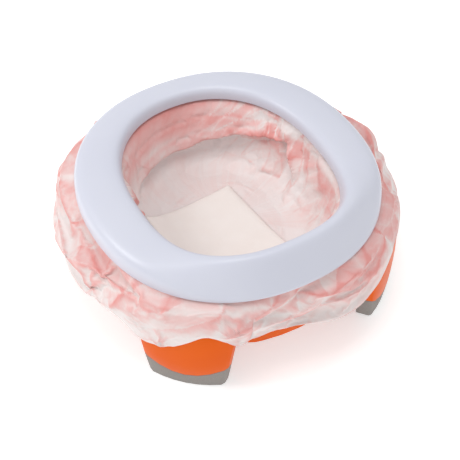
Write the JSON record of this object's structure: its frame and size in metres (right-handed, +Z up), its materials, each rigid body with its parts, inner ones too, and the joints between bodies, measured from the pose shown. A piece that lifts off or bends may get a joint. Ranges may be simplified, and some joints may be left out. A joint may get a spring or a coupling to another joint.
{
  "type": "travel potty",
  "caption": "Travel potty: raised seat ring with a splash guard over a film liner, on a base frame with hinged legs that stand down or swing out flat.",
  "frame": {"origin": "on the floor, under the middle of the seat ring", "axes": "+Z up, -Y towards the splash guard at the front, +X to the right seen from the front"},
  "size_m": [0.3418, 0.311, 0.1335],
  "materials": {
    "seat_plastic": "satin lavender-white moulded plastic",
    "orange_plastic": "satin orange moulded plastic",
    "grey_rubber": "matt soft-touch grey",
    "pin_steel": "bright drawn wire",
    "liner_film": "thin translucent pinkish-white film, crinkled",
    "pad_fluff": "soft non-woven cream-white absorbent pad"
  },
  "bodies": {
    "root": {"base_frame": "orange_plastic", "hinge_pin_front_left_a": "pin_steel", "hinge_pin_front_left_b": "pin_steel", "hinge_pin_front_right_a": "pin_steel", "hinge_pin_front_right_b": "pin_steel", "hinge_pin_back_left_a": "pin_steel", "hinge_pin_back_left_b": "pin_steel", "hinge_pin_back_right_a": "pin_steel", "hinge_pin_back_right_b": "pin_steel", "liner_pouch": "liner_film", "liner_cuff": "liner_film", "absorbent_pad": "pad_fluff"},
    "seat": {"seat_ring": "seat_plastic"},
    "leg_front_left": {"leg_front_left": "orange_plastic", "foot_front_left": "grey_rubber"},
    "leg_front_right": {"leg_front_right": "orange_plastic", "foot_front_right": "grey_rubber"},
    "leg_back_left": {"leg_back_left": "orange_plastic", "foot_back_left": "grey_rubber"},
    "leg_back_right": {"leg_back_right": "orange_plastic", "foot_back_right": "grey_rubber"}
  },
  "joints": [
    {"name": "seat_ring_lift", "type": "slide", "parent": "root", "child": "seat", "axis": [0, 0, 1], "range_m": [0, 0.1]},
    {"name": "leg_front_left_swing", "type": "hinge", "parent": "root", "child": "leg_front_left", "pos_m": [-0.10037, -0.11147, 0.09], "axis": [-0.7431, 0.6691, 0], "range_deg": [0, 90], "deforming": ["liner_cuff"]},
    {"name": "leg_front_right_swing", "type": "hinge", "parent": "root", "child": "leg_front_right", "pos_m": [0.10037, -0.11147, 0.09], "axis": [-0.7431, -0.6691, 0], "range_deg": [0, 90], "deforming": ["liner_cuff"]},
    {"name": "leg_back_left_swing", "type": "hinge", "parent": "root", "child": "leg_back_left", "pos_m": [-0.10037, 0.11147, 0.09], "axis": [0.7431, 0.6691, 0], "range_deg": [0, 90], "deforming": ["liner_cuff"]},
    {"name": "leg_back_right_swing", "type": "hinge", "parent": "root", "child": "leg_back_right", "pos_m": [0.10037, 0.11147, 0.09], "axis": [0.7431, -0.6691, 0], "range_deg": [0, 90], "deforming": ["liner_cuff"]}
  ]
}
